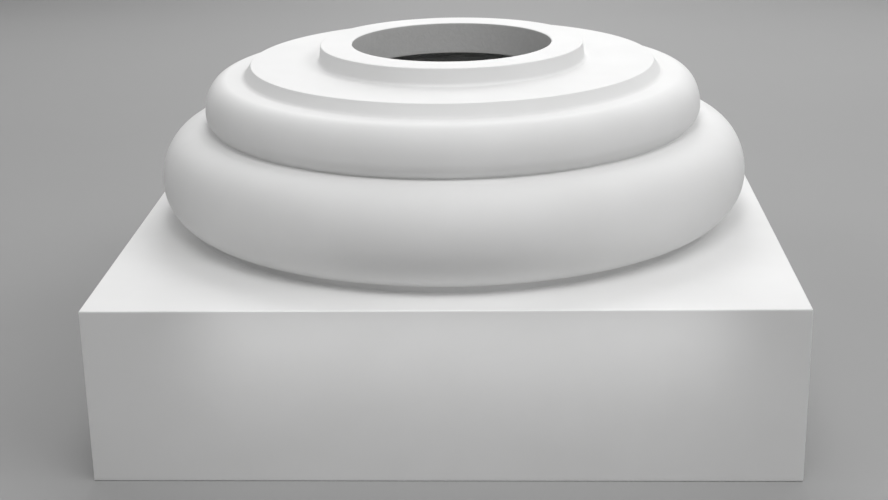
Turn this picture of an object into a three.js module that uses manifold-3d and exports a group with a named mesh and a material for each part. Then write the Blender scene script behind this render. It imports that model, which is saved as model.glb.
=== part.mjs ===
// Column base: a square plinth, two rounded rings, a raised round seat and a locating collar.
// It is cast in one piece as a hollow shell, open underneath, with a hole down through the collar.
// Units are millimetres, +Z is up, and the origin is the centre of the footprint.
import * as THREE from "three";
import { mergeVertices } from "three/addons/utils/BufferGeometryUtils.js";
import Module from "manifold-3d";

// Plinth
const plinthWidth = 500;
const plinthHeight = 128.5;

// Lower ring, standing on a short recessed neck. Each ring's rim is rounded in section, with a curve from
// its widest line up to the crown, as deep as the shoulder, and another from there down to the neck, which
// is part of a quarter ellipse as deep as the bulge. Belly is how high the widest line lies above the neck.
const lowerNeckHeight = 4.3;
const lowerNeckRecess = 20;
const lowerRingRadius = 234.6;
const lowerRingShoulder = 31.5;
const lowerRingBulge = 28.3;
const lowerRingBelly = 31.1;
const lowerRingHeight = 71.1;

// Upper ring, standing on a low neck on the crown of the lower one
const upperNeckHeight = 1.2;
const upperNeckRecess = 6;
const upperRingRadius = 198;
const upperRingShoulder = 17.5;
const upperRingBulge = 15.4;
const upperRingBelly = 10.9;
const upperRingHeight = 36.5;

// Seat for the shaft: a low round step above the upper ring, wider at its foot by the draft, with a cove
const seatRadius = 160.7;
const seatRise = 9.7;
const seatDraft = 6;
const seatCoveRadius = 4;

// Collar that locates the shaft, wider at its foot by its draft, with a cove there, and the hole through it
const collarRadius = 104.8;
const collarRise = 13.3;
const collarDraft = 1.3;
const collarCoveRadius = 2.5;
const holeRadius = 79.6;

// Shell
const shellThickness = 12.5;
const plinthInnerCornerRadius = 10;

// Facets of the round work, and steps along the curved stretches of its outline
const roundSegments = 64;
const ringSteps = 12;
const hollowRingSteps = 6;
const cornerSteps = 4;

// How far one solid reaches into its neighbour, or a cut past a face, for a clean join
const overlap = 1;

// Levels and radii that follow from the sizes
const lowerRingTop = plinthHeight + lowerNeckHeight + lowerRingHeight;
const upperRingTop = lowerRingTop + upperNeckHeight + upperRingHeight;
const seatLevel = upperRingTop + seatRise;
const collarTop = seatLevel + collarRise;
const lowerNeckRadius = lowerRingRadius - lowerNeckRecess;
const upperNeckRadius = upperRingRadius - upperNeckRecess;
const plinthCeiling = plinthHeight - shellThickness;

const lowerRim = {
  radius: lowerRingRadius,
  level: plinthHeight + lowerNeckHeight + lowerRingBelly,
  shoulder: lowerRingShoulder,
  rise: lowerRingHeight - lowerRingBelly,
  bulge: lowerRingBulge,
  drop: lowerRingBelly / Math.sin(undersideAngle(lowerNeckRecess, lowerRingBulge)),
};
const upperRim = {
  radius: upperRingRadius,
  level: lowerRingTop + upperNeckHeight + upperRingBelly,
  shoulder: upperRingShoulder,
  rise: upperRingHeight - upperRingBelly,
  bulge: upperRingBulge,
  drop: upperRingBelly / Math.sin(undersideAngle(upperNeckRecess, upperRingBulge)),
};

const wasm = await Module();
wasm.setup();

// How far round a rim's quarter ellipse, from the widest line down, its underside meets the neck.
function undersideAngle(neckRecess, bulge) {
  return Math.acos(Math.max(1 - neckRecess / bulge, 0));
}

// A rim seen from inside the shell.
function hollowRim(rim) {
  const inside = (reach) => Math.max(reach - shellThickness, overlap);
  return {
    radius: rim.radius - shellThickness,
    level: rim.level,
    shoulder: inside(rim.shoulder),
    rise: inside(rim.rise),
    bulge: inside(rim.bulge),
    drop: inside(rim.drop),
  };
}

function rimPoint(rim, angle) {
  const [depth, halfHeight] = angle > 0 ? [rim.shoulder, rim.rise] : [rim.bulge, rim.drop];
  return [rim.radius - depth * (1 - Math.cos(angle)), rim.level + halfHeight * Math.sin(angle)];
}

// Points along a rim from an angle below its widest line up to its crown.
function rimArc(rim, startAngle, steps) {
  const points = [];
  for (let step = 0; step <= steps; step += 1) {
    points.push(rimPoint(rim, startAngle + (Math.PI / 2 - startAngle) * (step / steps)));
  }
  return points;
}

// A rim that rises from a neck: where the neck is slimmer than the rim's underside, that is flat.
function rimOverNeck(rim, neckRadius, steps) {
  const recess = rim.radius - neckRadius;
  const arc = rimArc(rim, -undersideAngle(recess, rim.bulge), steps);
  return recess > rim.bulge ? [[neckRadius, rim.level - rim.drop], ...arc] : arc;
}

// The hollow curve at the foot of a wall, from the level ground in front of it up to the wall, which leans
// inward from its foot by the draft over the rise.
function cove(footRadius, ground, coveRadius, draft, rise) {
  const turn = Math.PI / 2 - Math.atan2(draft, rise);
  const centre = footRadius + coveRadius * Math.tan(turn / 2);
  const points = [];
  for (let step = 0; step <= cornerSteps; step += 1) {
    const angle = turn * (step / cornerSteps);
    points.push([centre - coveRadius * Math.sin(angle), ground + coveRadius * (1 - Math.cos(angle))]);
  }
  return points;
}

// Outline of the round work from the plinth up to the collar, as [radius, height] points.
function outerOutline() {
  return [
    [0, plinthHeight - overlap],
    [lowerNeckRadius, plinthHeight - overlap],
    ...rimOverNeck(lowerRim, lowerNeckRadius, ringSteps),
    [upperNeckRadius, lowerRingTop],
    ...rimOverNeck(upperRim, upperNeckRadius, ringSteps),
    ...cove(seatRadius + seatDraft, upperRingTop, seatCoveRadius, seatDraft, seatRise),
    [seatRadius, seatLevel],
    ...cove(collarRadius + collarDraft, seatLevel, collarCoveRadius, collarDraft, collarRise),
    [collarRadius, collarTop],
    [0, collarTop],
  ];
}

// Outline of the hollow inside it, which follows the outside at the thickness of the shell.
function innerOutline() {
  const lowerHollow = hollowRim(lowerRim);
  const upperHollow = hollowRim(upperRim);
  const seatHollowRadius = seatRadius - shellThickness;
  const seatCeiling = seatLevel - shellThickness;
  return [
    [0, plinthCeiling - overlap],
    [lowerNeckRadius - shellThickness, plinthCeiling - overlap],
    ...rimOverNeck(lowerHollow, lowerNeckRadius - shellThickness, hollowRingSteps),
    [upperNeckRadius - shellThickness, lowerHollow.level + lowerHollow.rise],
    ...rimOverNeck(upperHollow, upperNeckRadius - shellThickness, hollowRingSteps),
    [seatHollowRadius + seatDraft, upperHollow.level + upperHollow.rise],
    [seatHollowRadius, seatCeiling],
    [0, seatCeiling],
  ];
}

// Turns a closed three.js geometry into a solid that can be joined and cut.
function toSolid(geometry) {
  geometry.deleteAttribute("normal");
  geometry.deleteAttribute("uv");
  const welded = mergeVertices(geometry, 1e-4);
  const vertProperties = new Float32Array(welded.attributes.position.array);
  const triVerts = new Uint32Array(welded.index.array);
  return new wasm.Manifold(new wasm.Mesh({ numProp: 3, vertProperties, triVerts }));
}

// Turns a solid back into a three.js geometry.
function toGeometry(solid) {
  const mesh = solid.getMesh();
  const geometry = new THREE.BufferGeometry();
  geometry.setAttribute("position", new THREE.BufferAttribute(mesh.vertProperties, mesh.numProp));
  geometry.setIndex(new THREE.BufferAttribute(mesh.triVerts, 1));
  geometry.computeVertexNormals();
  return geometry;
}

// Revolves an outline that starts and ends on the axis about Z.
function turned(outline) {
  const points = outline.map(([radius, height]) => new THREE.Vector2(radius, height));
  return toSolid(new THREE.LatheGeometry(points, roundSegments).rotateX(Math.PI / 2));
}

// Upright block with a square plan, centred on the axis.
function squareBlock(plan, bottom, top) {
  const settings = { depth: top - bottom, bevelEnabled: false, curveSegments: cornerSteps };
  return toSolid(new THREE.ExtrudeGeometry(plan, settings).translate(0, 0, bottom));
}

function squarePlan(width) {
  const half = width / 2;
  return new THREE.Shape().moveTo(-half, -half).lineTo(half, -half).lineTo(half, half).lineTo(-half, half);
}

function roundedSquarePlan(width, cornerRadius) {
  const straight = width / 2 - cornerRadius;
  const plan = new THREE.Shape();
  plan.absarc(straight, straight, cornerRadius, 0, Math.PI / 2);
  plan.absarc(-straight, straight, cornerRadius, Math.PI / 2, Math.PI);
  plan.absarc(-straight, -straight, cornerRadius, Math.PI, 1.5 * Math.PI);
  plan.absarc(straight, -straight, cornerRadius, 1.5 * Math.PI, 2 * Math.PI);
  return plan;
}

// The casting: the outside, less the hollow and the hole.
function castShell() {
  const hollowPlan = roundedSquarePlan(plinthWidth - 2 * shellThickness, plinthInnerCornerRadius);
  const outside = squareBlock(squarePlan(plinthWidth), 0, plinthHeight).add(turned(outerOutline()));
  const hollow = squareBlock(hollowPlan, -overlap, plinthCeiling).add(turned(innerOutline()));
  const holeOutline = [
    [0, upperRim.level],
    [holeRadius, upperRim.level],
    [holeRadius, collarTop + overlap],
    [0, collarTop + overlap],
  ];
  return outside.subtract(hollow).subtract(turned(holeOutline));
}

const whiteCasting = new THREE.MeshStandardMaterial({ color: 0xe7e7e6, roughness: 0.65, metalness: 0 });
const columnBase = new THREE.Mesh(toGeometry(castShell()), whiteCasting);
columnBase.name = "column_base";

const group = new THREE.Group();
group.add(columnBase);

export default group;
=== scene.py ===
"""A white column base, cast in one piece: square plinth, two rounded rings, shaft seat and collar."""
import math

import bpy
from mathutils import Matrix, Vector


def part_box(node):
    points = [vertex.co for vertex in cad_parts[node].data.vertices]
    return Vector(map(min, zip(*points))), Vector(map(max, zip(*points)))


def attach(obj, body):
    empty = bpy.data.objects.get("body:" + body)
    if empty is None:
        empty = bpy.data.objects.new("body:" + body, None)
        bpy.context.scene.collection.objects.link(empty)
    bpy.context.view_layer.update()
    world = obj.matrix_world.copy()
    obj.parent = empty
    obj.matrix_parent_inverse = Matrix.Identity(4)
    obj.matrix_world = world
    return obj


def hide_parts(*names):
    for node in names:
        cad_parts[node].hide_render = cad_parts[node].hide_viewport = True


MM = 0.001

# Sizes of the casting, in millimetres, as in the part. Each ring stands on a neck set back by the recess.
# Its rim swells by the shoulder above its widest line and by the bulge below it, and that line lies the
# belly above the neck. The draft is how much wider a wall is at its foot.
PLINTH_HEIGHT = 128.5
LOWER_NECK_HEIGHT = 4.3
LOWER_NECK_RECESS = 20
LOWER_RING_RADIUS = 234.6
LOWER_RING_SHOULDER = 31.5
LOWER_RING_BULGE = 28.3
LOWER_RING_BELLY = 31.1
LOWER_RING_HEIGHT = 71.1
UPPER_NECK_HEIGHT = 1.2
UPPER_NECK_RECESS = 6
UPPER_RING_RADIUS = 198
UPPER_RING_SHOULDER = 17.5
UPPER_RING_BULGE = 15.4
UPPER_RING_BELLY = 10.9
UPPER_RING_HEIGHT = 36.5
SEAT_RADIUS = 160.7
SEAT_RISE = 9.7
SEAT_DRAFT = 6
SEAT_COVE_RADIUS = 4
COLLAR_RADIUS = 104.8
COLLAR_RISE = 13.3
COLLAR_DRAFT = 1.3
COLLAR_COVE_RADIUS = 2.5
HOLE_RADIUS = 79.6
SHELL_THICKNESS = 12.5
PLINTH_INNER_CORNER_RADIUS = 10

# The least swell that a rim keeps inside the shell, in millimetres
LEAST_HOLLOW = 1

# The three finishes of the casting: its face, the sawn wall of the hole, and the matting of the hollow. The
# hole's wall is coloured darker than the face as painted shade, and the hollow is coloured lighter than the
# face as painted light.
FACE, SAWN, MATTED = 0, 1, 2

# Rounding of the cast edges and inner corners, in millimetres
PLINTH_ARRIS = 0.9
ROUND_ARRIS = 0.8
LOWER_FOOT_FILLET = 1.0
UPPER_FOOT_FILLET = 0.4
HOLLOW_FILLET = 4.0

# Fineness of the mesh: points round each station, how many of them round each corner of a square one, and
# steps along the curves. On both sides of a rounding a further ring of points, the support, keeps the flats
# flat. It lies at the gap in millimetres or, if that is less, at a few times the rounding's radius.
MERIDIANS = 256
CORNER_MERIDIANS = 8
LOWER_RING_STEPS = 40
UPPER_RING_STEPS = 28
HOLLOW_RING_STEPS = 12
FILLET_STEPS = 5
SUPPORT_GAP = 1.2
SUPPORT_GAP_IN_RADII = 1.5
SHARP_ANGLE = math.radians(35)

# Camera, as fitted to the photograph: its place in metres, and its turn about the upright, its tilt down
# and its roll
CAMERA_POSITION = Vector((0.0477, -1.2751, 0.5134))
CAMERA_YAW = math.radians(-2.552)
CAMERA_PITCH = math.radians(18.4125)
CAMERA_ROLL = math.radians(1.079)
SENSOR_WIDTH_MM = 36
LENS_MM = 65.378

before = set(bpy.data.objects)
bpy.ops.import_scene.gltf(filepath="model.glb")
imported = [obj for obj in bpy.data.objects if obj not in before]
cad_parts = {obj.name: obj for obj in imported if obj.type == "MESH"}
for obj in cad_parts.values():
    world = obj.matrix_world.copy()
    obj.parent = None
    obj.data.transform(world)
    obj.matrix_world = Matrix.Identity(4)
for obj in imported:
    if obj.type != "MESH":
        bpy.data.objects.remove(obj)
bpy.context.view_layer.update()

low_corner, high_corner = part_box("column_base")
PLINTH_HALF = (high_corner.x - low_corner.x) / 2 / MM


def make_camera():
    forward = Vector((
        math.sin(CAMERA_YAW) * math.cos(CAMERA_PITCH),
        math.cos(CAMERA_YAW) * math.cos(CAMERA_PITCH),
        -math.sin(CAMERA_PITCH),
    ))
    level_right = Vector((math.cos(CAMERA_YAW), -math.sin(CAMERA_YAW), 0))
    level_down = forward.cross(level_right)
    right = level_right * math.cos(CAMERA_ROLL) + level_down * math.sin(CAMERA_ROLL)
    up = level_right * math.sin(CAMERA_ROLL) - level_down * math.cos(CAMERA_ROLL)
    data = bpy.data.cameras.new("camera")
    data.sensor_width = SENSOR_WIDTH_MM
    data.lens = LENS_MM
    camera = bpy.data.objects.new("camera", data)
    turn = Matrix((right, up, -forward)).transposed().to_4x4()
    camera.matrix_world = Matrix.Translation(CAMERA_POSITION) @ turn
    bpy.context.scene.collection.objects.link(camera)
    bpy.context.scene.camera = camera


# Outline of the casting: a closed loop of stations, each a ring of one size at one height

def round_station(radius, height, finish=FACE):
    return {"square": False, "reach": radius, "height": height, "finish": finish}


def square_station(half, height, finish=FACE):
    return {"square": True, "reach": half, "height": height, "finish": finish}


def underside_angle(recess, bulge):
    """How far round a rim's quarter ellipse, from the widest line down, its underside meets the neck."""
    return math.acos(1 - recess / bulge)


def rim(foot, height, radius, shoulder, bulge, belly, recess):
    """A ring's rim, whose foot is where it meets its neck."""
    return {
        "radius": radius,
        "level": foot + belly,
        "shoulder": shoulder,
        "rise": height - belly,
        "bulge": bulge,
        "drop": belly / math.sin(underside_angle(recess, bulge)),
    }


def hollow_rim(outer):
    """The same rim seen from inside the shell."""
    return {
        "radius": outer["radius"] - SHELL_THICKNESS,
        "level": outer["level"],
        "shoulder": outer["shoulder"] - SHELL_THICKNESS,
        "rise": outer["rise"] - SHELL_THICKNESS,
        "bulge": max(outer["bulge"] - SHELL_THICKNESS, LEAST_HOLLOW),
        "drop": max(outer["drop"] - SHELL_THICKNESS, LEAST_HOLLOW),
    }


def rim_arc(ring, start, end, steps):
    """Points along a rim between two angles, counted up from its widest line."""
    points = []
    for step in range(steps + 1):
        angle = start + (end - start) * step / steps
        width, height = (ring["shoulder"], ring["rise"]) if angle > 0 else (ring["bulge"], ring["drop"])
        radius = ring["radius"] - width * (1 - math.cos(angle))
        points.append((radius, ring["level"] + height * math.sin(angle)))
    return points


def softened(corners):
    """Rounds the corners of an open outline. Each corner is (reach, height, radius of its rounding)."""
    points = []
    for index, (reach, height, radius) in enumerate(corners):
        here = Vector((reach, height))
        if radius == 0:
            points.append((reach, height))
            continue
        back = (Vector(corners[index - 1][:2]) - here).normalized()
        ahead = (Vector(corners[index + 1][:2]) - here).normalized()
        half_turn = math.acos(max(-1, min(1, back.dot(ahead)))) / 2
        trim = radius / math.tan(half_turn)
        centre = here + (back + ahead).normalized() * radius / math.sin(half_turn)
        start = here + back * trim
        end = here + ahead * trim
        gap = min(SUPPORT_GAP, SUPPORT_GAP_IN_RADII * radius)
        points.append(tuple(start + back * gap))
        for step in range(FILLET_STEPS + 1):
            spoke = (start.lerp(end, step / FILLET_STEPS) - centre).normalized()
            points.append(tuple(centre + spoke * radius))
        points.append(tuple(end + ahead * gap))
    return points


def outline():
    """All stations, from inside the foot of the plinth, over the outside and down through the hollow."""
    lower_top = PLINTH_HEIGHT + LOWER_NECK_HEIGHT + LOWER_RING_HEIGHT
    upper_top = lower_top + UPPER_NECK_HEIGHT + UPPER_RING_HEIGHT
    seat_level = upper_top + SEAT_RISE
    collar_top = seat_level + COLLAR_RISE
    ceiling = seat_level - SHELL_THICKNESS
    plinth_ceiling = PLINTH_HEIGHT - SHELL_THICKNESS
    lower_neck = LOWER_RING_RADIUS - LOWER_NECK_RECESS
    upper_neck = UPPER_RING_RADIUS - UPPER_NECK_RECESS
    lower = rim(
        PLINTH_HEIGHT + LOWER_NECK_HEIGHT, LOWER_RING_HEIGHT, LOWER_RING_RADIUS, LOWER_RING_SHOULDER,
        LOWER_RING_BULGE, LOWER_RING_BELLY, LOWER_NECK_RECESS,
    )
    upper = rim(
        lower_top + UPPER_NECK_HEIGHT, UPPER_RING_HEIGHT, UPPER_RING_RADIUS, UPPER_RING_SHOULDER,
        UPPER_RING_BULGE, UPPER_RING_BELLY, UPPER_NECK_RECESS,
    )
    lower_hollow = hollow_rim(lower)
    upper_hollow = hollow_rim(upper)
    crown = math.pi / 2
    lower_start = -underside_angle(LOWER_NECK_RECESS, LOWER_RING_BULGE)
    upper_start = -underside_angle(UPPER_NECK_RECESS, UPPER_RING_BULGE)
    lower_arc = rim_arc(lower, lower_start, crown, LOWER_RING_STEPS)
    upper_arc = rim_arc(upper, upper_start, crown, UPPER_RING_STEPS)
    lower_hollow_arc = rim_arc(lower_hollow, crown, -crown, HOLLOW_RING_STEPS)
    upper_hollow_arc = rim_arc(upper_hollow, crown, -crown, HOLLOW_RING_STEPS)
    lower_neck_hollow = lower_neck - SHELL_THICKNESS
    upper_neck_hollow = upper_neck - SHELL_THICKNESS
    seat_hollow = SEAT_RADIUS - SHELL_THICKNESS
    plinth_hollow = PLINTH_HALF - SHELL_THICKNESS

    squares = softened([
        (plinth_hollow, PLINTH_HEIGHT / 2, 0),
        (plinth_hollow, 0, PLINTH_ARRIS),
        (PLINTH_HALF, 0, PLINTH_ARRIS),
        (PLINTH_HALF, PLINTH_HEIGHT, PLINTH_ARRIS),
        (lower_neck, PLINTH_HEIGHT, 0),
    ])[1:-1]
    lower_foot = softened([
        (PLINTH_HALF, PLINTH_HEIGHT, 0),
        (lower_neck, PLINTH_HEIGHT, LOWER_FOOT_FILLET),
        (*lower_arc[0], 0),
    ])[1:-1]
    upper_foot = softened([
        (*lower_arc[-1], 0),
        (upper_neck, lower_top, UPPER_FOOT_FILLET),
        (*upper_arc[0], 0),
    ])[1:-1]
    seat_line = softened([
        (*upper_arc[-1], 0),
        (SEAT_RADIUS + SEAT_DRAFT, upper_top, SEAT_COVE_RADIUS),
        (SEAT_RADIUS, seat_level, ROUND_ARRIS),
        (COLLAR_RADIUS + COLLAR_DRAFT, seat_level, COLLAR_COVE_RADIUS),
        (COLLAR_RADIUS, collar_top, ROUND_ARRIS),
        (HOLE_RADIUS, collar_top, 0),
    ])[1:-1]
    hole_line = softened([
        (COLLAR_RADIUS, collar_top, 0),
        (HOLE_RADIUS, collar_top, ROUND_ARRIS),
        (HOLE_RADIUS, ceiling, ROUND_ARRIS),
        (seat_hollow, ceiling, HOLLOW_FILLET),
        (seat_hollow + SEAT_DRAFT, upper_hollow["level"] + upper_hollow["rise"], 0),
    ])[1:]
    inner_line = softened([
        (*lower_hollow_arc[-1], 0),
        (lower_neck_hollow, lower_hollow["level"] - lower_hollow["drop"], 0),
        (lower_neck_hollow, plinth_ceiling, HOLLOW_FILLET / 2),
        (plinth_hollow, plinth_ceiling, 0),
    ])[1:-1]
    inner_corner = softened([
        (lower_neck_hollow, plinth_ceiling, 0),
        (plinth_hollow, plinth_ceiling, HOLLOW_FILLET),
        (plinth_hollow, PLINTH_HEIGHT / 2, 0),
    ])[1:]
    upper_neck_line = [
        (upper_neck_hollow, upper_hollow["level"] - upper_hollow["drop"]),
        (upper_neck_hollow, lower_hollow["level"] + lower_hollow["rise"]),
    ]
    stations = []
    for reach, height in squares:
        inside = reach < PLINTH_HALF - SHELL_THICKNESS / 2 and height > PLINTH_ARRIS / 2
        stations.append(square_station(reach, height, MATTED if inside else FACE))
    face = lower_foot + lower_arc + upper_foot + upper_arc + seat_line
    stations += [round_station(radius, height) for radius, height in face]
    for radius, height in hole_line:
        wall = MATTED if height < ceiling + ROUND_ARRIS / 2 else SAWN
        finish = FACE if height > collar_top - ROUND_ARRIS / 2 else wall
        stations.append(round_station(radius, height, finish))
    rounds = upper_hollow_arc + upper_neck_line + lower_hollow_arc + inner_line
    stations += [round_station(radius, height, MATTED) for radius, height in rounds]
    stations += [square_station(reach, height, MATTED) for reach, height in inner_corner]
    return stations


def corner_radius(reach):
    """Plan radius of a square station's corners: tight outside, wider inside the hollow."""
    if reach > PLINTH_HALF - SHELL_THICKNESS / 2:
        return PLINTH_ARRIS
    return PLINTH_INNER_CORNER_RADIUS


def square_point(reach, corner, step):
    """A point on the +X side of a square with rounded corners, counted from the middle of its -Y corner."""
    quarter = MERIDIANS // 4
    half_corner = CORNER_MERIDIANS // 2
    straight = reach - corner
    if step < half_corner:
        angle = -math.pi / 4 + math.pi / 4 * step / half_corner
        return straight + corner * math.cos(angle), -straight + corner * math.sin(angle)
    if step <= quarter - half_corner:
        along = (step - half_corner) / ((quarter - CORNER_MERIDIANS) // 2) - 1
        return reach, straight * math.tan(math.pi / 4 * along)
    angle = math.pi / 4 - math.pi / 4 * (quarter - step) / half_corner
    return straight + corner * math.cos(angle), straight + corner * math.sin(angle)


def round_point(reach, step):
    """The point of a circle that belongs to the same step."""
    angle = 2 * math.pi * step / MERIDIANS - math.pi / 4
    return reach * math.cos(angle), reach * math.sin(angle)


def station_points(station):
    """One ring of points, counted anticlockwise from the middle of the +X side."""
    reach = station["reach"] * MM
    quarter = MERIDIANS // 4
    points = []
    for index in range(MERIDIANS):
        side, step = divmod(index + quarter // 2, quarter)
        if station["square"]:
            local = square_point(reach, corner_radius(station["reach"]) * MM, step)
        else:
            local = round_point(reach, step)
        turn = side * math.pi / 2
        x = local[0] * math.cos(turn) - local[1] * math.sin(turn)
        y = local[0] * math.sin(turn) + local[1] * math.cos(turn)
        points.append((x, y, station["height"] * MM))
    return points


def make_casting():
    stations = outline()
    vertices = []
    for station in stations:
        vertices += station_points(station)
    faces = []
    for row in range(len(stations)):
        next_row = (row + 1) % len(stations)
        for column in range(MERIDIANS):
            next_column = (column + 1) % MERIDIANS
            faces.append((
                row * MERIDIANS + column,
                row * MERIDIANS + next_column,
                next_row * MERIDIANS + next_column,
                next_row * MERIDIANS + column,
            ))
    mesh = bpy.data.meshes.new("column_base_casting")
    mesh.from_pydata(vertices, [], faces)
    mesh.validate()
    marks = [float(station["finish"]) for station in stations for _ in range(MERIDIANS)]
    mesh.attributes.new("finish", "FLOAT", "POINT").data.foreach_set("value", marks)
    mesh.shade_smooth()
    mesh.set_sharp_from_angle(angle=SHARP_ANGLE)
    casting = bpy.data.objects.new("column_base_casting", mesh)
    bpy.context.scene.collection.objects.link(casting)
    casting.data.materials.append(white_casting())
    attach(casting, "root")
    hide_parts("column_base")


# Places of the colour sockets of a Mix node
MIX_FIRST, MIX_SECOND, MIX_RESULT = 6, 7, 2


def add_node(tree, kind, inputs=None, **settings):
    """A shader node with its settings, whose inputs are given as values or as other nodes' outputs."""
    node = tree.nodes.new(kind)
    for name, value in settings.items():
        setattr(node, name, value)
    for socket, value in (inputs or {}).items():
        if isinstance(value, bpy.types.NodeSocket):
            tree.links.new(value, node.inputs[socket])
        else:
            node.inputs[socket].default_value = value
    return node


def noise(tree, place, patch, detail, distortion=0):
    """Cloudy variation around 0.5, whose patches are about as wide as patch, in metres."""
    inputs = {"Vector": place, "Scale": 1 / patch, "Detail": detail, "Distortion": distortion}
    return add_node(tree, "ShaderNodeTexNoise", inputs).outputs["Fac"]


def remap(tree, value, low, high, to_low=0, to_high=1):
    """Stretches low to high over to_low to to_high, and holds it there."""
    inputs = {"Value": value, "From Min": low, "From Max": high, "To Min": to_low, "To Max": to_high}
    return add_node(tree, "ShaderNodeMapRange", inputs).outputs["Result"]


def blend(tree, share, first, second):
    """Goes from the first colour to the second as the share goes from 0 to 1."""
    node = add_node(tree, "ShaderNodeMix", {"Factor": share}, data_type="RGBA")
    for slot, colour in ((MIX_FIRST, first), (MIX_SECOND, second)):
        if isinstance(colour, bpy.types.NodeSocket):
            tree.links.new(colour, node.inputs[slot])
        else:
            node.inputs[slot].default_value = (*colour, 1)
    return node.outputs[MIX_RESULT]


def times(tree, first, second):
    return add_node(tree, "ShaderNodeMath", {0: first, 1: second}, operation="MULTIPLY").outputs[0]


def relief(tree, height, depth, under=None):
    """Raises the surface by up to depth, in metres, where the height is 1."""
    inputs = {"Height": height, "Distance": depth, "Strength": 1}
    if under is not None:
        inputs["Normal"] = under
    return add_node(tree, "ShaderNodeBump", inputs).outputs["Normal"]


# Finish of the casting: its colours
WHITE_FACE = (0.79, 0.79, 0.787)
WHITE_CLOUD = (0.815, 0.815, 0.813)
PINHOLE_TINT = (0.62, 0.62, 0.61)
# Painted shade: the sawn wall of the hole is coloured darker than the face, standing for the shade inside
# the hole
SAWN_WALL_PAINTED_SHADE_TONES = ((0.53, 0.53, 0.525), (0.57, 0.57, 0.565))
# Painted light: the matted hollow is coloured lighter than the face; its two tones follow the matting's
# patches
MATTED_PAINTED_LIGHT_TONES = ((0.84, 0.84, 0.832), (0.9, 0.9, 0.895))

# Its roughness, from patch to patch of the face, and what the sawn and the matted sides have over that
FACE_ROUGHNESS = (0.6, 0.7)
SIDE_ROUGHNESS = 0.25

# Ranges of the cloudy noise over which clouds and patches go from none to full
CLOUD_RANGE = (0.35, 0.65)
PATCH_RANGE = (0.3, 0.7)

# Widths and depths of what shows in its surface, in metres
CLOUD_PATCH = 0.07
SHEEN_PATCH = CLOUD_PATCH / 3
MOULD_WAVE = 0.09
MOULD_WAVE_DEPTH = 0.00012
GRAIN = 0.0009
GRAIN_DEPTH = 0.000012
PINHOLE_SPACING = 0.011
PINHOLE_SHARE = 0.3
PINHOLE_RADIUS = 0.0003
PINHOLE_DEPTH = 0.0003
FIBRE = 0.005
FIBRE_TANGLE = 1.6
FIBRE_DEPTH = 0.0004


def white_casting():
    """Smooth matt white gypsum: faint clouds, a fine grain, a few pinholes, and rough matting inside, with
    painted shade darkening the hole's wall and painted light brightening the hollow.
    """
    material = bpy.data.materials.new("white_casting")
    material.use_nodes = True
    tree = material.node_tree
    shader = tree.nodes["Principled BSDF"]
    place = add_node(tree, "ShaderNodeTexCoord").outputs["Object"]
    finish = add_node(tree, "ShaderNodeAttribute", attribute_name="finish").outputs["Fac"]
    inside = remap(tree, finish, FACE, SAWN)
    matted = remap(tree, finish, SAWN, MATTED)

    cells = add_node(tree, "ShaderNodeTexVoronoi", {"Vector": place, "Scale": 1 / PINHOLE_SPACING})
    near = remap(tree, cells.outputs["Distance"], PINHOLE_RADIUS / PINHOLE_SPACING, 0)
    draw = add_node(tree, "ShaderNodeSeparateColor", {"Color": cells.outputs["Color"]}).outputs["Red"]
    chosen = add_node(tree, "ShaderNodeMath", {0: draw, 1: PINHOLE_SHARE}, operation="LESS_THAN").outputs[0]
    pinholes = times(tree, near, chosen)

    clouds = remap(tree, noise(tree, place, CLOUD_PATCH, detail=4), *CLOUD_RANGE)
    matting = noise(tree, place, FIBRE, detail=4, distortion=FIBRE_TANGLE)
    face = blend(tree, clouds, WHITE_FACE, WHITE_CLOUD)
    face = blend(tree, pinholes, face, PINHOLE_TINT)
    patches = remap(tree, matting, *PATCH_RANGE)
    # Colour of the sides: painted shade on the hole's wall and painted light in the hollow, over the
    # matting's patches
    side_matting_and_painted_light = blend(tree, matted, blend(tree, patches, *SAWN_WALL_PAINTED_SHADE_TONES), blend(tree, patches, *MATTED_PAINTED_LIGHT_TONES))
    tree.links.new(blend(tree, inside, face, side_matting_and_painted_light), shader.inputs["Base Color"])

    sheen = noise(tree, place, SHEEN_PATCH, detail=3)
    sheen = remap(tree, sheen, *PATCH_RANGE, *FACE_ROUGHNESS)
    extra = remap(tree, inside, 0, 1, 0, SIDE_ROUGHNESS)
    roughness = add_node(tree, "ShaderNodeMath", {0: sheen, 1: extra}, operation="ADD").outputs[0]
    tree.links.new(roughness, shader.inputs["Roughness"])

    normal = relief(tree, noise(tree, place, MOULD_WAVE, detail=1), MOULD_WAVE_DEPTH)
    normal = relief(tree, noise(tree, place, GRAIN, detail=3), GRAIN_DEPTH, normal)
    normal = relief(tree, remap(tree, pinholes, 0, 1, 1, 0), PINHOLE_DEPTH, normal)
    normal = relief(tree, times(tree, matting, remap(tree, finish, FACE, MATTED)), FIBRE_DEPTH, normal)
    tree.links.new(normal, shader.inputs["Normal"])
    return material


# Floor: half its width in metres, its colours and how wide its faint clouds are
FLOOR_HALF = 12
FLOOR_TONES = ((0.315, 0.315, 0.315), (0.325, 0.325, 0.325))
FLOOR_CLOUD = 0.5
FLOOR_ROUGHNESS = 0.8


def pale_floor():
    material = bpy.data.materials.new("pale_floor")
    material.use_nodes = True
    tree = material.node_tree
    shader = tree.nodes["Principled BSDF"]
    place = add_node(tree, "ShaderNodeTexCoord").outputs["Object"]
    clouds = remap(tree, noise(tree, place, FLOOR_CLOUD, detail=4), *PATCH_RANGE)
    tree.links.new(blend(tree, clouds, *FLOOR_TONES), shader.inputs["Base Color"])
    shader.inputs["Roughness"].default_value = FLOOR_ROUGHNESS
    return material


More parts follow.
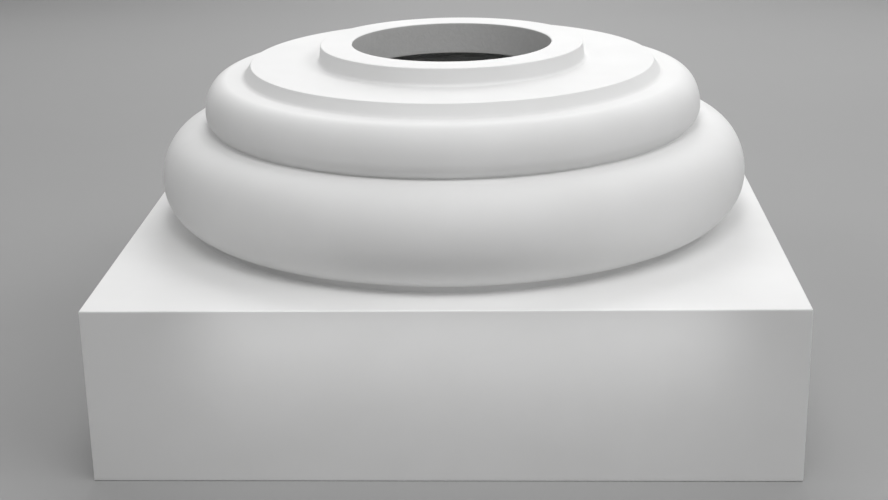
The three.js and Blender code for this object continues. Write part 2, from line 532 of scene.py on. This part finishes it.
def make_floor():
    half = FLOOR_HALF
    corners = [(-half, -half, 0), (half, -half, 0), (half, half, 0), (-half, half, 0)]
    mesh = bpy.data.meshes.new("floor")
    mesh.from_pydata(corners, [], [(0, 1, 2, 3)])
    mesh.materials.append(pale_floor())
    floor = bpy.data.objects.new("floor", mesh)
    bpy.context.scene.collection.objects.link(floor)


# Soft lights of the studio: the azimuth and elevation of each round softbox, its width in metres and its
# power in watts. Azimuth 0 is in front of the object, and 90 to its right.
OBJECT_MIDDLE = Vector((0, 0, 0.15))
SOFTBOX_DISTANCE = 2.2
SOFTBOXES = {
    "front_high": (0, 58, 0.8, 8.4),
    "front_steep": (0, 70, 0.9, 4.0),
    "front_middle": (0, 40, 0.8, 1.6),
    "front_right": (40, 40, 0.8, 5.4),
    "front_left": (-40, 40, 0.8, 2.3),
    "right_front": (70, 40, 0.8, 5.9),
    "left_front": (-70, 40, 0.8, 5.7),
    "right_high": (90, 50, 1.3, 4.5),
    "key_right": (45, 50, 1.3, 3.5),
    "back_high": (180, 50, 1.3, 14.3),
    "back_low": (180, 22, 1.3, 8.8),
    "back_right": (135, 22, 1.3, 8.9),
    "back_left": (-135, 22, 1.3, 4.9),
}

# Faint light that the studio's walls send back from all sides
STUDIO_AIR = (0.1, 0.1, 0.1)

# Strip light with a grid, close in front of the plinth, which brightens its front from the top down: its
# size, place and aim in metres, and its power in watts
STRIP_SIZE = (0.36, 0.05)
STRIP_SPREAD = math.radians(80)
STRIP_PLACE = Vector((0.015, -0.31, 0.15))
STRIP_AIM = Vector((0.015, -0.25, 0.09))
STRIP_POWER = 0.0255


def make_softbox(name, place, aim, shape, size, watts, spread=math.pi):
    """An area light turned to its aim, which the camera doesn't see."""
    data = bpy.data.lights.new(name, "AREA")
    data.shape = shape
    data.size = size[0]
    data.size_y = size[1]
    data.spread = spread
    data.energy = watts
    lamp = bpy.data.objects.new(name, data)
    lamp.location = place
    lamp.rotation_euler = (place - aim).to_track_quat("Z", "Y").to_euler()
    lamp.visible_camera = False
    bpy.context.scene.collection.objects.link(lamp)


def make_lights():
    for name, (azimuth, elevation, width, watts) in SOFTBOXES.items():
        turn = math.radians(azimuth)
        lift = math.radians(elevation)
        away = Vector((math.sin(turn) * math.cos(lift), -math.cos(turn) * math.cos(lift), math.sin(lift)))
        place = OBJECT_MIDDLE + away * SOFTBOX_DISTANCE
        make_softbox(name, place, OBJECT_MIDDLE, "DISK", (width, width), watts)
    make_softbox("strip", STRIP_PLACE, STRIP_AIM, "RECTANGLE", STRIP_SIZE, STRIP_POWER, STRIP_SPREAD)
    world = bpy.data.worlds.new("world")
    world.use_nodes = True
    background = world.node_tree.nodes["Background"]
    background.inputs["Color"].default_value = (*STUDIO_AIR, 1)
    background.inputs["Strength"].default_value = 1
    bpy.context.scene.world = world
    bpy.context.scene.view_settings.view_transform = "Standard"


make_camera()
make_casting()
make_floor()
make_lights()
